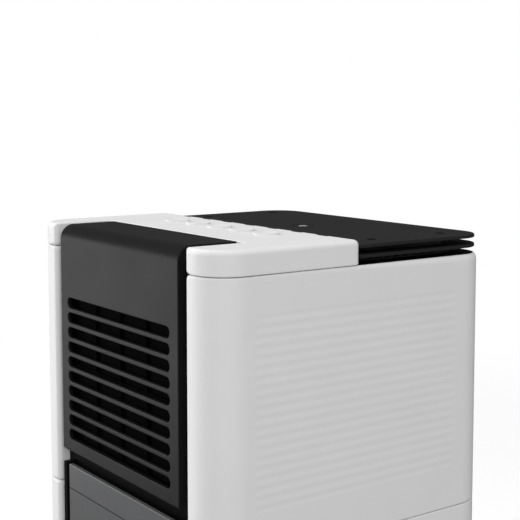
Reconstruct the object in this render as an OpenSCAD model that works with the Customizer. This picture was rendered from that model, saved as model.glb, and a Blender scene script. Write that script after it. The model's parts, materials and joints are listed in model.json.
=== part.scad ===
// Compact compressor dehumidifier: free-standing, front intake, top outlet, pull-out water tank.
// Origin: centre of the footprint on the floor. +Z up, front faces -Y. Millimetres.

/* [Body] */
// Width of the casing
body_w = 240; // [200:1:300]
// Depth of the casing
body_d = 231; // [231:1:280]
// Height from the floor to the top of the control bar
body_h = 400; // [400:1:440]
// Radius of the vertical corners
corner_r = 24; // [16:1:30]
// Thickness of the moulded casing walls
wall = 2.5; // [2:0.1:3]
// Height of the rubber feet
foot_h = 6; // [4:1:10]

/* [Control bar] */
// Height of the control bar above the casing
bar_h = 16.3; // [14:0.1:20]
// Depth of the control bar from the front face
bar_d = 112.7; // [105:0.1:118]
// Radius along the top edges of the bar
bar_fillet = 3.5; // [2:0.1:5]
// Diameter of a push button
button_dia = 18; // [12:1:20]
// Spacing of the push buttons
button_pitch = 28; // [24:1:32]
// Travel of a push button
button_travel = 1.2; // [0.8:0.1:1.5]

/* [Front grille] */
// Width of the black grille panel
grille_w = 161; // [150:1:165]
// Width of the recess that holds the panel
recess_w = 176.8; // [172:0.1:184]
// Depth of the recess
recess_d = 8.7; // [8:0.1:10]
// How far the panel reaches back over the top
grille_top_d = 44; // [36:1:50]
// Outer radius of the panel's bend
grille_bend_r = 10; // [7:0.5:12]
// Length of an air slot
slot_w = 140; // [120:1:144]
// Height of an air slot
slot_h = 7.2; // [5:0.1:8]
// Spacing of the air slots
slot_pitch = 10.63; // [9:0.01:11]

/* [Water tank] */
// Width of the tank's front panel
tank_front_w = 143.2; // [130:0.1:146]
// Depth of the tank from the front face to its rear wall
tank_d = 128.5; // [110:0.5:130]
// How far the tank pulls out
tank_travel = 130; // [100:1:140]

/* [Outlet] */
// Thickness of each outlet plate
plate_t = 2.4; // [2:0.1:3]
// Open gap under each outlet plate
plate_gap = 4.1; // [3.5:0.1:5]

/* [Side ribs] */
// Number of grooves in each side shell
rib_count = 20; // [10:1:20]
// Spacing of the grooves
rib_pitch = 6.2; // [5:0.1:6.2]

/* [Hidden] */
$fn = 64;

// Colours
white = [0.90, 0.90, 0.89];
black = [0.07, 0.07, 0.075];
charcoal = [0.16, 0.16, 0.17];
tank_grey = [0.36, 0.37, 0.38];
rubber_grey = [0.12, 0.12, 0.12];
steel = [0.62, 0.63, 0.65];
zinc = [0.72, 0.72, 0.70];
aluminium = [0.80, 0.81, 0.83];
copper = [0.72, 0.42, 0.26];
board_green = [0.08, 0.32, 0.18];
smoke = [0.62, 0.68, 0.72];
natural = [0.86, 0.85, 0.80];

// General clearances
gap = 0.3;          // between neighbouring mouldings
running = 0.05;     // radial clearance of a shaft in its bore
cut = 1;            // how far cutting solids run past a face

// Levels above the floor
bar_top = body_h;
seam_z = bar_top - bar_h;            // joint between the casing and the control bar
low_seam_z = seam_z - 175;           // joint between the upper shells and the lower housing
seam_gap = 0.4;                      // visible line between stacked mouldings
housing_z = 14;                      // underside of the lower housing
pan_t = 3;
grille_bottom_z = seam_z - 147.5;
tank_top_z = seam_z - 157.5;
tank_bottom_z = 22;
deck_t = 3;
deck_top_z = seam_z - 0.2;
slot_first_top_z = seam_z - 35.2;
slots = 10;

// Plan positions
front_y = -body_d / 2;
back_y = body_d / 2;
bar_back_y = front_y + bar_d;
recess_y = front_y + recess_d;       // bottom face of the recess
edge_r = 3.5;                        // round on the white edges beside the recess

// ---------------------------------------------------------------- helpers
module box(lo, hi) {
    translate(lo) cube([hi[0] - lo[0], hi[1] - lo[1], hi[2] - lo[2]]);
}

// Extrudes a plan outline between two heights.
module along_z(z0, z1) {
    translate([0, 0, z0]) linear_extrude(z1 - z0) children();
}

// Extrudes an outline drawn in X and Z between two Y positions.
module along_y(y0, y1) {
    translate([0, y1, 0]) rotate([90, 0, 0]) linear_extrude(y1 - y0) children();
}

// Extrudes an outline drawn in Y and Z between two X positions.
module along_x(x0, x1) {
    translate([x0, 0, 0]) rotate([90, 0, 90]) linear_extrude(x1 - x0) children();
}

// Rectangle between two corners, with rounded corners.
module round_rect(lo, hi, r) {
    translate([lo[0] + r, lo[1]]) square([hi[0] - lo[0] - 2 * r, hi[1] - lo[1]]);
    translate([lo[0], lo[1] + r]) square([hi[0] - lo[0], hi[1] - lo[1] - 2 * r]);
    for (x = [lo[0] + r, hi[0] - r], y = [lo[1] + r, hi[1] - r]) translate([x, y]) circle(r);
}

// Plan outline of the casing, shrunk by inset on every side.
module body_plan(inset = 0) {
    round_rect([-body_w / 2 + inset, front_y + inset], [body_w / 2 - inset, back_y - inset],
        corner_r - inset);
}

module mirror_copy() {
    children();
    mirror([1, 0, 0]) children();
}

// Straight round bar between two points.
module rod(p, q, r) {
    v = q - p;
    len = norm(v);
    translate(p) rotate([0, acos(v[2] / len), atan2(v[1], v[0])]) cylinder(h = len, r = r);
}

// Tube run through a list of points, with a slightly fuller ball at each bend.
module pipe(points, r) {
    bend_extra = 0.1;
    for (i = [1 : len(points) - 1]) rod(points[i - 1], points[i], r);
    for (i = [1 : len(points) - 2]) translate(points[i]) sphere(r + bend_extra);
}

// Screw standing up at the origin: pan head with a cross recess, shank below.
module screw(head_r, head_h, shank_r, shank_l) {
    difference() {
        union() {
            cylinder(h = head_h, r = head_r);
            translate([0, 0, -shank_l]) cylinder(h = shank_l, r = shank_r);
        }
        for (a = [0, 90]) rotate([0, 0, a])
            translate([-head_r * 0.6, -head_r * 0.14, head_h * 0.45])
                cube([head_r * 1.2, head_r * 0.28, head_h]);
    }
}

// ---------------------------------------------------------------- casing
// Plan of the white walls beside the front recess, with the rounded return; right half only.
module side_wall_plan() {
    return_x = recess_w / 2;
    difference() {
        body_plan();
        body_plan(wall);
        translate([-body_w, front_y - cut])
            square([body_w + return_x + edge_r, corner_r + cut]);
    }
    translate([return_x + edge_r, front_y + edge_r]) circle(edge_r);
    translate([return_x, front_y + edge_r]) square([edge_r, recess_d - edge_r]);
}

rear_joint_x = recess_w / 2;

module side_shell() {
    groove_len = 167;
    groove_h = rib_pitch / 2;
    groove_d = 0.4;
    field_top_z = seam_z - 24.2;
    field_y = front_y + 30.3;
    difference() {
        along_z(low_seam_z + seam_gap / 2, seam_z - seam_gap / 2) difference() {
            side_wall_plan();
            translate([-body_w, front_y - cut]) square([body_w, body_d + 2 * cut]);
            translate([-cut, 0]) square([rear_joint_x + cut, back_y + cut]);
        }
        for (i = [0 : rib_count - 1])
            box([body_w / 2 - groove_d, field_y, field_top_z - i * rib_pitch - groove_h],
                [body_w / 2 + cut, field_y + groove_len, field_top_z - i * rib_pitch]);
    }
}

module side_shell_right() {
    color(white) side_shell();
}

module side_shell_left() {
    color(white) mirror([1, 0, 0]) side_shell();
}

// Places children at the four rear screw positions, pointing out of the back.
module at_rear_screws() {
    for (x = [-76, 76], z = [low_seam_z + 14, seam_z - 16])
        translate([x, back_y, z]) rotate([-90, 0, 0]) children();
}

rear_recess = 2.2;     // screw heads sit this deep in the rear cover
rear_boss_t = 5;

module rear_cover() {
    vent_w = 66;
    vent_h = 4;
    vent_pitch = 9;
    vents = 13;
    half_w = rear_joint_x - gap;
    color(white) difference() {
        union() {
            box([-half_w, back_y - wall, low_seam_z + seam_gap / 2],
                [half_w, back_y, seam_z - seam_gap / 2]);
            at_rear_screws() translate([0, 0, -rear_boss_t]) cylinder(h = rear_boss_t, r = 6);
        }
        for (side = [-1, 1], i = [0 : vents - 1])
            translate([side * 36, 0, low_seam_z + 34 + i * vent_pitch])
                along_y(back_y - wall - cut, back_y + cut)
                    round_rect([-vent_w / 2, 0], [vent_w / 2, vent_h], vent_h / 2 - 0.01);
        at_rear_screws() {
            translate([0, 0, -rear_recess]) cylinder(h = rear_recess + cut, r = 4.2);
            translate([0, 0, -rear_boss_t - cut]) cylinder(h = rear_boss_t + 2 * cut, r = 1.9);
        }
    }
}

module rear_screws() {
    color(zinc) at_rear_screws() translate([0, 0, -rear_recess]) screw(3.6, 1.8, 1.6, 9);
}

inlet_x = -62;
inlet_z = 52;
inlet_w = 28;
inlet_h = 20;

module lower_housing() {
    color(white) difference() {
        along_z(housing_z, low_seam_z - seam_gap / 2) union() {
            difference() {
                body_plan();
                body_plan(wall);
                translate([-recess_w / 2 - edge_r, front_y - cut])
                    square([recess_w + 2 * edge_r, corner_r + cut]);
            }
            mirror_copy() {
                translate([recess_w / 2 + edge_r, front_y + edge_r]) circle(edge_r);
                translate([recess_w / 2, front_y + edge_r]) square([edge_r, recess_d - edge_r]);
            }
        }
        box([inlet_x - inlet_w / 2, back_y - wall - cut, inlet_z - inlet_h / 2],
            [inlet_x + inlet_w / 2, back_y + cut, inlet_z + inlet_h / 2]);
    }
}

foot_x = 88;
foot_y = 84;
foot_r = 13;

module at_feet() {
    for (x = [-foot_x, foot_x], y = [-foot_y, foot_y]) translate([x, y, 0]) children();
}

module base_pan() {
    inset = 1.5;
    rim_inset = wall + gap;
    rim_top_z = housing_z + 6;
    rim_t = 2.5;
    color(charcoal) difference() {
        union() {
            along_z(foot_h, housing_z - gap) body_plan(inset);
            along_z(housing_z - gap, rim_top_z) difference() {
                body_plan(rim_inset);
                body_plan(rim_inset + rim_t);
                translate([-recess_w / 2 - 8, front_y - cut]) square([recess_w + 16, corner_r]);
            }
            for (p = compressor_feet) translate([p[0], p[1], foot_h]) cylinder(h = 12, r = 8);
        }
        along_z(foot_h + pan_t, housing_z + cut) difference() {
            body_plan(rim_inset + rim_t);
            for (p = compressor_feet) translate([p[0], p[1]]) circle(8);
            for (x = [-1, 1], y = [-60, -20])
                translate([x * 90 - 4, y]) square([8, 24]);
        }
        at_base_screws() translate([0, 0, -cut]) {
            cylinder(h = 2 + cut, r = 4.2);
            cylinder(h = 12, r = 1.9);
        }
        for (p = compressor_feet)
            translate([p[0], p[1], foot_h + 4]) cylinder(h = 12, r = compressor_bolt_r);
    }
}

module at_base_screws() {
    for (x = [-102, 102], y = [-50, 50]) translate([x, y, foot_h]) children();
}

module base_screws() {
    color(zinc) at_base_screws() translate([0, 0, 2]) mirror([0, 0, 1]) screw(3.6, 1.8, 1.6, 0.8);
}

module rubber_feet() {
    color(rubber_grey) at_feet() difference() {
        cylinder(h = foot_h, r = foot_r);
        translate([0, 0, -cut]) cylinder(h = 1.5 + cut, r = foot_r - 4);
    }
}

// Black frame behind the grille and round the tank.
frame_t = 3;
strip_in_x = 76;            // border strips beside the tank front
strip_out_x = grille_w / 2;
bay_half_w = 75.5;
intake_half_w = 75;
intake_z = [grille_bottom_z + 4, seam_z - 12];
tank_opening_top_z = low_seam_z - 2.5;
recess_top_z = bar_top - recess_d;          // floor of the recess on top
notch_back_y = front_y + grille_top_d + 1;  // rear edge of the notch in the control bar

module front_frame() {
    half_w = recess_w / 2 - gap;
    color(black) difference() {
        union() {
            box([-half_w, recess_y, housing_z + gap], [half_w, recess_y + frame_t, recess_top_z]);
            box([-half_w, recess_y, recess_top_z - frame_t],
                [half_w, notch_back_y - gap, recess_top_z]);
            mirror_copy() box([strip_in_x, front_y + 0.2, housing_z + gap],
                [strip_out_x, recess_y + cut, tank_top_z]);
        }
        box([-intake_half_w, recess_y - cut, intake_z[0]],
            [intake_half_w, recess_y + frame_t + cut, intake_z[1]]);
        box([-bay_half_w + 2 - gap, recess_y - cut, tank_bottom_z - 3.5],
            [bay_half_w - 2 + gap, recess_y + frame_t + cut, tank_opening_top_z]);
    }
}

// Liner that the tank slides into.
bay_back_y = 18;
bay_wall = 2;
bay_floor_z = 16;

module tank_bay() {
    y0 = recess_y + frame_t + gap;
    color(charcoal) difference() {
        box([-bay_half_w, y0, bay_floor_z], [bay_half_w, bay_back_y, tank_opening_top_z - 1]);
        box([-bay_half_w + bay_wall, y0 - cut, bay_floor_z + bay_wall],
            [bay_half_w - bay_wall, bay_back_y - bay_wall, tank_opening_top_z + cut]);
    }
}

spout_x = 0;
spout_y = -62;
shelf_z = low_seam_z - 0.5;
shelf_t = 2.5;

module mid_shelf() {
    color(charcoal) difference() {
        box([-86, recess_y + frame_t + gap, shelf_z], [86, 46, shelf_z + shelf_t]);
        translate([spout_x, spout_y, shelf_z - cut]) cylinder(h = shelf_t + 2 * cut, r = 10);
    }
}

// ---------------------------------------------------------------- top
outlet_inset = 1.5;
outlet_front_y = bar_back_y + 0.6;
core_inset = 16;
core_front_y = 8;
outlet_x = body_w / 2 - core_inset;
outlet_back_y = back_y - core_inset;
lower_plate_z = deck_top_z + plate_gap + 0.2;
top_plate_z = lower_plate_z + plate_t + plate_gap;
outlet_screw_x = 98.5;
outlet_screw_y = [24, 87.5];

module at_outlet_screws() {
    for (x = [-outlet_screw_x, outlet_screw_x], y = outlet_screw_y) translate([x, y, 0]) children();
}

module top_deck() {
    color(black) difference() {
        along_z(deck_top_z - deck_t, deck_top_z) difference() {
            body_plan(wall + gap);
            translate([-body_w, front_y - cut]) square([2 * body_w, recess_d + frame_t + cut]);
        }
        along_z(deck_top_z - deck_t - cut, deck_top_z + cut)
            round_rect([-84, core_front_y + 8], [84, outlet_back_y - 8], 6);
        at_outlet_screws() translate([0, 0, deck_top_z - deck_t - cut])
            cylinder(h = deck_t + 2 * cut, r = 1.3);
    }
}

// Plan of the outlet plates: square against the bar, rounded like the casing at the back.
module outlet_plan(inset) {
    intersection() {
        body_plan(outlet_inset + inset);
        round_rect([-body_w, outlet_front_y + inset], [body_w, body_d], 0.01);
    }
}

module core_plan(inset) {
    round_rect([-outlet_x + inset, core_front_y + inset], [outlet_x - inset, outlet_back_y - inset],
        14 - inset);
}

module outlet_core() {
    core_wall = 2.2;
    window_w = 5.4;
    window_pitch = 8;
    back_window_h = 8.4;
    side_window_h = lower_plate_z - deck_top_z - 1.1;
    side_windows = 8;
    back_windows = 22;
    z0 = deck_top_z;
    window_z = z0 + 1;
    side_y = (core_front_y + outlet_back_y) / 2;
    color(black) difference() {
        union() {
            along_z(z0, top_plate_z) difference() {
                core_plan(0);
                core_plan(core_wall);
            }
            at_outlet_screws() translate([0, 0, z0]) cylinder(h = top_plate_z - z0, r = 4.5);
        }
        for (i = [0 : back_windows - 1])
            translate([(i - (back_windows - 1) / 2) * window_pitch - window_w / 2,
                outlet_back_y - core_wall - cut, window_z])
                cube([window_w, core_wall + 2 * cut, back_window_h]);
        for (side = [-1, 1], i = [0 : side_windows - 1])
            translate([side * (outlet_x - core_wall / 2) - core_wall / 2 - cut,
                side_y + (i - (side_windows - 1) / 2) * window_pitch - window_w / 2 - 8, window_z])
                cube([core_wall + 2 * cut, window_w, side_window_h]);
        at_outlet_screws() translate([0, 0, z0 - cut]) cylinder(h = top_plate_z, r = 1.3);
    }
}

module outlet_lower_plate() {
    color(black) along_z(lower_plate_z, lower_plate_z + plate_t) difference() {
        outlet_plan(0);
        core_plan(0);
    }
}

lens_y = 43;
lens_r = 7;
screw_recess = 1.2;

module outlet_top_plate() {
    color(black) difference() {
        along_z(top_plate_z, top_plate_z + plate_t) outlet_plan(0);
        at_outlet_screws() {
            translate([0, 0, top_plate_z - cut]) cylinder(h = plate_t + 2 * cut, r = 1.7);
            translate([0, 0, top_plate_z + plate_t - screw_recess]) cylinder(h = plate_t, r = 3.4);
        }
        translate([0, lens_y, top_plate_z - cut]) cylinder(h = plate_t + 2 * cut, r = lens_r + 1.2);
    }
}

module outlet_screws() {
    color(charcoal) at_outlet_screws() translate([0, 0, top_plate_z + plate_t - screw_recess])
        screw(2.9, 1, 1.25, 8);
}

module status_lens() {
    color(smoke) translate([0, lens_y, top_plate_z - 1.2]) {
        cylinder(h = 1.2, r = lens_r + 2.5);
        cylinder(h = 1.2 + plate_t - 0.6, r = lens_r);
    }
}

// ---------------------------------------------------------------- control bar
bar_end_r = 5;
bar_z = seam_z + seam_gap / 2;
bar_wall = 2.4;
buttons = 5;
button_y = front_y + 84;

function button_x(i) = (i - (buttons - 1) / 2) * button_pitch;

// Upright post with a rounded top rim.
module round_post(x, y, r) {
    h = bar_top - bar_z;
    translate([x, y, bar_z]) rotate_extrude($fn = 48) {
        square([r - bar_fillet, h]);
        square([r, h - bar_fillet]);
        translate([r - bar_fillet, h - bar_fillet]) intersection() {
            circle(bar_fillet, $fn = 24);
            square(bar_fillet);
        }
    }
}

module notch(grow) {
    box([-recess_w / 2 - grow, front_y - cut, bar_z - cut],
        [recess_w / 2 + grow, notch_back_y + grow, bar_top + cut]);
}

module control_bar() {
    dent_w = 14;
    dent_l = 5;
    dent_d = 1.4;
    dents = 7;
    color(white) difference() {
        hull() for (side = [-1, 1]) {
            round_post(side * (body_w / 2 - corner_r), front_y + corner_r, corner_r);
            round_post(side * (body_w / 2 - bar_end_r), bar_back_y - bar_end_r, bar_end_r);
        }
        difference() {
            along_z(bar_z - cut, bar_top - bar_wall) intersection() {
                body_plan(bar_wall);
                translate([-body_w, -body_d]) square([2 * body_w, body_d + bar_back_y - bar_wall]);
            }
            notch(bar_wall);
        }
        notch(0);
        for (i = [0 : buttons - 1])
            translate([button_x(i), button_y, bar_top - bar_wall - cut])
                cylinder(h = bar_wall + 2 * cut, r = button_dia / 2 + gap);
        for (i = [0 : dents - 1])
            translate([(i - (dents - 1) / 2) * button_pitch - dent_w / 2, bar_back_y - dent_l,
                bar_top - dent_d])
                cube([dent_w, dent_l + cut, dent_d + cut]);
    }
}

board_z = bar_z + 2.2;
board_t = 1.6;
switch_h = 3.2;

// Push button: round cap, retaining flange under the bar's skin and a stem over its switch.
module button(i) {
    cap_top = bar_top + 1.1;
    flange_top = bar_top - bar_wall - 0.4;
    flange_t = 1.6;
    stem_z = board_z + board_t + switch_h + button_travel + 0.2;
    dish_r = 40;
    color(white) translate([button_x(i), button_y, 0]) difference() {
        union() {
            translate([0, 0, flange_top]) cylinder(h = cap_top - flange_top, r = button_dia / 2);
            translate([0, 0, flange_top - flange_t]) cylinder(h = flange_t, r = button_dia / 2 + 1.8);
            translate([0, 0, stem_z]) cylinder(h = flange_top - stem_z, r = 2);
        }
        translate([0, 0, cap_top - 0.8 + dish_r]) sphere(dish_r);
    }
}

module button_1() { button(0); }
module button_2() { button(1); }
module button_3() { button(2); }
module button_4() { button(3); }
module button_5() { button(4); }

module button_board() {
    color(board_green) box([-80, button_y - 18, board_z], [80, button_y + 18, board_z + board_t]);
}

module push_switches() {
    color(black) for (i = [0 : buttons - 1])
        translate([button_x(i), button_y, board_z + board_t]) {
            translate([-3, -3, 0]) cube([6, 6, switch_h - 0.8]);
            cylinder(h = switch_h, r = 1.6);
        }
}

// ---------------------------------------------------------------- front grille and filter
skin = 2.5;

// Outline in Y and Z of the folded panel with the given thickness.
module folded_outline(t) {
    r = grille_bend_r;
    bend_z = bar_top - r;
    translate([front_y, grille_bottom_z]) square([t, bend_z - grille_bottom_z]);
    translate([front_y + r, bar_top - t]) square([grille_top_d - r, t]);
    translate([front_y + r, bend_z]) difference() {
        intersection() {
            circle(r);
            translate([-r, 0]) square(r);
        }
        if (t < r) circle(r - t);
    }
}

module front_grille() {
    half_w = grille_w / 2;
    rim_w = 2;
    rim_d = 6.5;
    color(black) difference() {
        union() {
            along_x(-half_w, half_w) folded_outline(skin);
            mirror_copy() along_x(half_w - rim_w, half_w) folded_outline(rim_d);
            box([-half_w, front_y, grille_bottom_z], [half_w, front_y + 4, grille_bottom_z + rim_w]);
        }
        for (i = [0 : slots - 1])
            translate([0, 0, slot_first_top_z - i * slot_pitch - slot_h])
                along_y(front_y - cut, front_y + skin + cut)
                    round_rect([-slot_w / 2, 0], [slot_w / 2, slot_h], slot_h / 2 - 0.01);
    }
}

filter_y = front_y + skin;
filter_t = 5;
filter_half_w = 73.5;
filter_z = [grille_bottom_z + 6, slot_first_top_z + 8];
filter_rim = 4;

module filter_frame() {
    uprights = 3;
    bar_w = 2;
    bar_t = 2;
    inner_w = 2 * (filter_half_w - filter_rim);
    z0 = filter_z[0] + filter_rim;
    z1 = filter_z[1] - filter_rim;
    color(black) {
        along_y(filter_y, filter_y + filter_t) difference() {
            translate([-filter_half_w, filter_z[0]])
                square([2 * filter_half_w, filter_z[1] - filter_z[0]]);
            translate([-inner_w / 2, z0]) square([inner_w, z1 - z0]);
        }
        for (i = [1 : uprights])
            translate([-inner_w / 2 + i * inner_w / (uprights + 1) - bar_w / 2, filter_y + 1, z0 - cut])
                cube([bar_w, bar_t, z1 - z0 + 2 * cut]);
        translate([-inner_w / 2 - cut, filter_y + 1, (z0 + z1 - bar_w) / 2])
            cube([inner_w + 2 * cut, bar_t, bar_w]);
    }
}

module filter_mesh() {
    sheet_t = 0.5;
    x1 = filter_half_w - filter_rim;
    y0 = filter_y + 3;
    color(black) box([-x1, y0, filter_z[0] + filter_rim], [x1, y0 + sheet_t, filter_z[1] - filter_rim]);
}

// ---------------------------------------------------------------- water
tank_wall = 2;
tank_half_w = 70;
tank_shell_top_z = tank_opening_top_z - 6;
tank_skin = 3.2;
tank_front_y = front_y;
tank_back_y = front_y + tank_d;

module tank_shell() {
    y0 = front_y + tank_skin;
    color(smoke) difference() {
        along_z(tank_bottom_z, tank_shell_top_z)
            round_rect([-tank_half_w, y0], [tank_half_w, tank_back_y], 8);
        along_z(tank_bottom_z + tank_wall, tank_shell_top_z + cut)
            round_rect([-tank_half_w + tank_wall, y0 + tank_wall],
                [tank_half_w - tank_wall, tank_back_y - tank_wall], 6);
    }
}

module tank_front() {
    half_w = tank_front_w / 2;
    line_h = 0.8;
    line_d = 0.6;
    color(tank_grey) difference() {
        along_y(front_y, front_y + tank_skin)
            round_rect([-half_w, tank_bottom_z], [half_w, tank_top_z], 1.2);
        box([-half_w - cut, front_y - cut, low_seam_z - line_h / 2],
            [half_w + cut, front_y + line_d, low_seam_z + line_h / 2]);
    }
}

lid_t = 2;
float_axis = [0, -8, tank_shell_top_z - 12];   // pivot line of the float arm, along X
float_pin_r = 1.5;
float_x = 44;

module tank_lid() {
    y0 = front_y + tank_skin + 0.2;
    ear_t = 3;
    fill_r = 16;
    color(natural) difference() {
        union() {
            along_z(tank_shell_top_z, tank_shell_top_z + lid_t)
                round_rect([-tank_half_w, y0], [tank_half_w, tank_back_y], 8);
            for (side = [-1, 1])
                box([float_x + side * 9 - ear_t / 2, float_axis[1] - 5, float_axis[2] - 4],
                    [float_x + side * 9 + ear_t / 2, float_axis[1] + 5, tank_shell_top_z]);
        }
        translate([spout_x, spout_y, tank_shell_top_z - cut]) cylinder(h = lid_t + 2 * cut, r = fill_r);
        translate([float_x - 20, float_axis[1], float_axis[2]]) rotate([0, 90, 0])
            cylinder(h = 40, r = float_pin_r);
    }
}

module float_pin() {
    half_l = 10.5;
    color(steel) translate([float_x - half_l, float_axis[1], float_axis[2]]) rotate([0, 90, 0])
        cylinder(h = 2 * half_l, r = float_pin_r);
}

module float_arm() {
    arm_l = 34;
    hub_half = 5;
    y1 = float_axis[1];
    z1 = float_axis[2];
    color(natural) difference() {
        union() {
            translate([float_x - hub_half, y1, z1]) rotate([0, 90, 0])
                cylinder(h = 2 * hub_half, r = 4);
            box([float_x - 3, y1 - arm_l, z1 - 3], [float_x + 3, y1 - 2, z1]);
            along_z(z1 - 22, z1 - 2)
                round_rect([float_x - 14, y1 - arm_l - 26], [float_x + 14, y1 - arm_l + 2], 5);
        }
        translate([float_x - 20, y1, z1]) rotate([0, 90, 0])
            cylinder(h = 40, r = float_pin_r + running);
    }
}

module level_switch() {
    y0 = bay_back_y;
    color(black) {
        box([float_x - 12, y0, float_axis[2] - 10], [float_x + 12, y0 + 8, float_axis[2] + 6]);
        box([float_x - 4, y0 + 8, float_axis[2] - 6], [float_x + 4, y0 + 12, float_axis[2]]);
    }
}

coil_half_w = 68;
coil_z = [grille_bottom_z + 6, seam_z - 14];
evaporator_y = recess_y + frame_t + 10;
coil_d = 22;
condenser_y = evaporator_y + coil_d + 7;

module drip_tray() {
    z0 = shelf_z + shelf_t;
    z1 = coil_z[0] - 1;
    y0 = evaporator_y - 3;
    y1 = condenser_y + coil_d + 3;
    half_w = 82;
    color(black) difference() {
        union() {
            box([-half_w, y0, z0], [half_w, y1, z1]);
            translate([spout_x, spout_y, z0 - 7]) cylinder(h = 8, r = 8);
        }
        box([-half_w + 2, y0 + 2, z0 + 2], [half_w - 2, y1 - 2, z1 + cut]);
        translate([spout_x, spout_y, z0 - 8]) cylinder(h = 14, r = 6);
    }
}

// ---------------------------------------------------------------- heat exchangers
tube_r = 4;
tube_rows = 7;                      // odd, so that the two ends are on opposite sides
tube_end_x = coil_half_w + 4.6;

function tube_z(i) = coil_z[0] + (i + 0.5) * (coil_z[1] - coil_z[0]) / tube_rows;

module fins(y0) {
    fin_t = 0.5;
    fin_count = 24;
    pitch = 2 * coil_half_w / (fin_count - 1);
    for (i = [0 : fin_count - 1])
        along_x(-coil_half_w + i * pitch - fin_t / 2, -coil_half_w + i * pitch + fin_t / 2)
            difference() {
                translate([y0, coil_z[0]]) square([coil_d, coil_z[1] - coil_z[0]]);
                for (row = [0 : tube_rows - 1]) translate([y0 + coil_d / 2, tube_z(row)]) circle(tube_r);
            }
}

// Serpentine tube: it starts at -X in the lowest row and ends at +X in the highest.
module serpentine(y0) {
    pipe([for (row = [0 : tube_rows - 1], end = [0, 1])
        [((row + end) % 2 == 0 ? -1 : 1) * tube_end_x, y0 + coil_d / 2, tube_z(row)]], tube_r);
}

module evaporator_fins() { color(aluminium) fins(evaporator_y); }
module evaporator_tube() { color(copper) serpentine(evaporator_y); }
module condenser_fins() { color(aluminium) fins(condenser_y); }
module condenser_tube() { color(copper) serpentine(condenser_y); }

// ---------------------------------------------------------------- fan
fan_z = 296;
fan_y = [-19, 40];          // inside of the scroll
fan_half_w = 83;
fan_bottom_z = shelf_z + shelf_t + gap;
fan_top_z = deck_top_z - deck_t - gap;
wheel_r = 64;
scroll_r = 74;
scroll_wall = 2.5;
shaft_r = 4;

module fan_inlet_plate() {
    color(charcoal) along_y(fan_y[0] - scroll_wall, fan_y[0] - gap) difference() {
        translate([-fan_half_w, fan_bottom_z])
            square([2 * fan_half_w, fan_top_z - fan_bottom_z]);
        translate([0, fan_z]) circle(wheel_r - 12);
    }
}

module fan_housing() {
    color(charcoal) {
        along_y(fan_y[0], fan_y[1]) difference() {
            translate([-fan_half_w, fan_bottom_z])
                square([2 * fan_half_w, fan_top_z - fan_bottom_z]);
            translate([0, fan_z]) circle(scroll_r);
            translate([-scroll_r + 12, fan_z]) square([2 * scroll_r - 12, fan_top_z - fan_z + cut]);
        }
        along_y(fan_y[1], fan_y[1] + scroll_wall) difference() {
            translate([-fan_half_w, fan_bottom_z])
                square([2 * fan_half_w, fan_top_z - fan_bottom_z]);
            translate([0, fan_z]) circle(12);
        }
    }
}

module fan_wheel() {
    blades = 28;
    blade_t = 1.4;
    blade_l = 15;
    hub_r = 11;
    y0 = fan_y[0] + 6;
    y1 = fan_y[1] - 6;
    disc_t = 2.4;
    color(natural) {
        along_y(y1 - disc_t, y1) translate([0, fan_z]) difference() {
            circle(wheel_r);
            circle(shaft_r);
        }
        along_y(y1 - disc_t - 16, y1 - disc_t) translate([0, fan_z]) difference() {
            circle(hub_r);
            circle(shaft_r);
        }
        along_y(y0, y0 + disc_t) translate([0, fan_z]) difference() {
            circle(wheel_r);
            circle(wheel_r - blade_l + 2);
        }
        along_y(y0 + disc_t, y1 - disc_t) translate([0, fan_z])
            for (i = [0 : blades - 1]) rotate(i * 360 / blades)
                translate([wheel_r - blade_l + 1, 0]) rotate(28) square([blade_l, blade_t]);
    }
}

motor_y = [fan_y[1] + scroll_wall + 3, 88];

module fan_shaft() {
    color(steel) translate([0, motor_y[1] + 4, fan_z]) rotate([90, 0, 0])
        cylinder(h = motor_y[1] + 4 - (fan_y[0] + 14), r = shaft_r);
}

module at_motor_screws() {
    for (a = [45 : 90 : 315])
        translate([44 * cos(a), motor_y[0], fan_z + 44 * sin(a)]) rotate([-90, 0, 0]) children();
}

module motor_bracket() {
    color(zinc) difference() {
        along_y(motor_y[0] - 3, motor_y[0]) difference() {
            translate([0, fan_z]) circle(52);
            translate([0, fan_z]) circle(12);
            for (a = [0 : 90 : 270]) translate([0, fan_z]) rotate(a) translate([44, 0]) circle(9);
        }
        at_motor_screws() translate([0, 0, -3 - cut]) cylinder(h = 3 + 2 * cut, r = 2.2);
    }
}

module motor_screws() {
    color(zinc) at_motor_screws() screw(3.6, 2.2, 2, 2.9);
}

module fan_motor() {
    color(steel) translate([0, 0, fan_z]) difference() {
        union() {
            translate([0, motor_y[1] - 6, 0]) rotate([90, 0, 0])
                cylinder(h = motor_y[1] - 6 - motor_y[0], r = 34);
            translate([0, motor_y[1], 0]) rotate([90, 0, 0]) cylinder(h = 6, r = 14);
        }
        translate([0, motor_y[1] + cut, 0]) rotate([90, 0, 0])
            cylinder(h = motor_y[1] - motor_y[0] + 2 * cut, r = shaft_r + running);
    }
}

// ---------------------------------------------------------------- compressor and pipes
compressor_x = 45;
compressor_y = 64.5;
compressor_r = 36;
compressor_z = [40, 186];
compressor_foot_z = 34;
compressor_bolt_r = 2.5;
compressor_feet = [for (a = [0, 118, 242])
    [compressor_x + 44 * cos(a), compressor_y + 44 * sin(a)]];

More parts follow.
